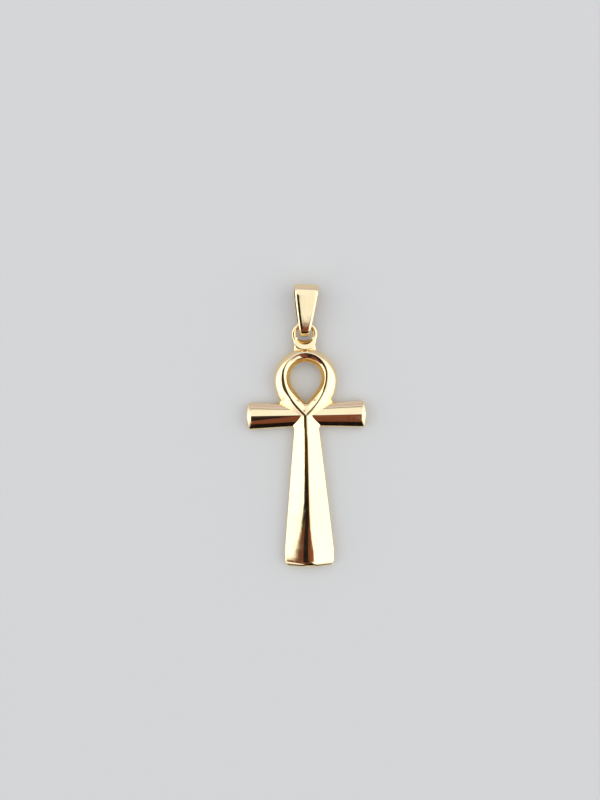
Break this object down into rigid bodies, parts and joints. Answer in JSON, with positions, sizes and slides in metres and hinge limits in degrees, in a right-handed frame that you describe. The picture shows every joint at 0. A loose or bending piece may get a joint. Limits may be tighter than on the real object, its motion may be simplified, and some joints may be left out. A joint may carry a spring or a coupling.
{
  "type": "ankh pendant",
  "caption": "Flat-backed ankh pendant with bevelled arms, a teardrop loop and a folded bail that swings on a fixed eyelet so that it hangs on a chain.",
  "frame": {"origin": "on the surface that the pendant lies on, under the middle of the whole pendant's box", "axes": "+X along the crossbar to the right arm, +Y from the foot to the bail, +Z out of the front"},
  "size_m": [0.018, 0.043, 0.0037],
  "materials": {
    "gold": "polished"
  },
  "bodies": {
    "ankh": {"ankh": "gold"},
    "bail": {"bail": "gold"}
  },
  "joints": [
    {"name": "bail_swing", "type": "hinge", "parent": "ankh", "child": "bail", "pos_m": [0, 0.01523, 0.0015], "axis": [1, 0, 0], "range_deg": [0, 105]}
  ]
}
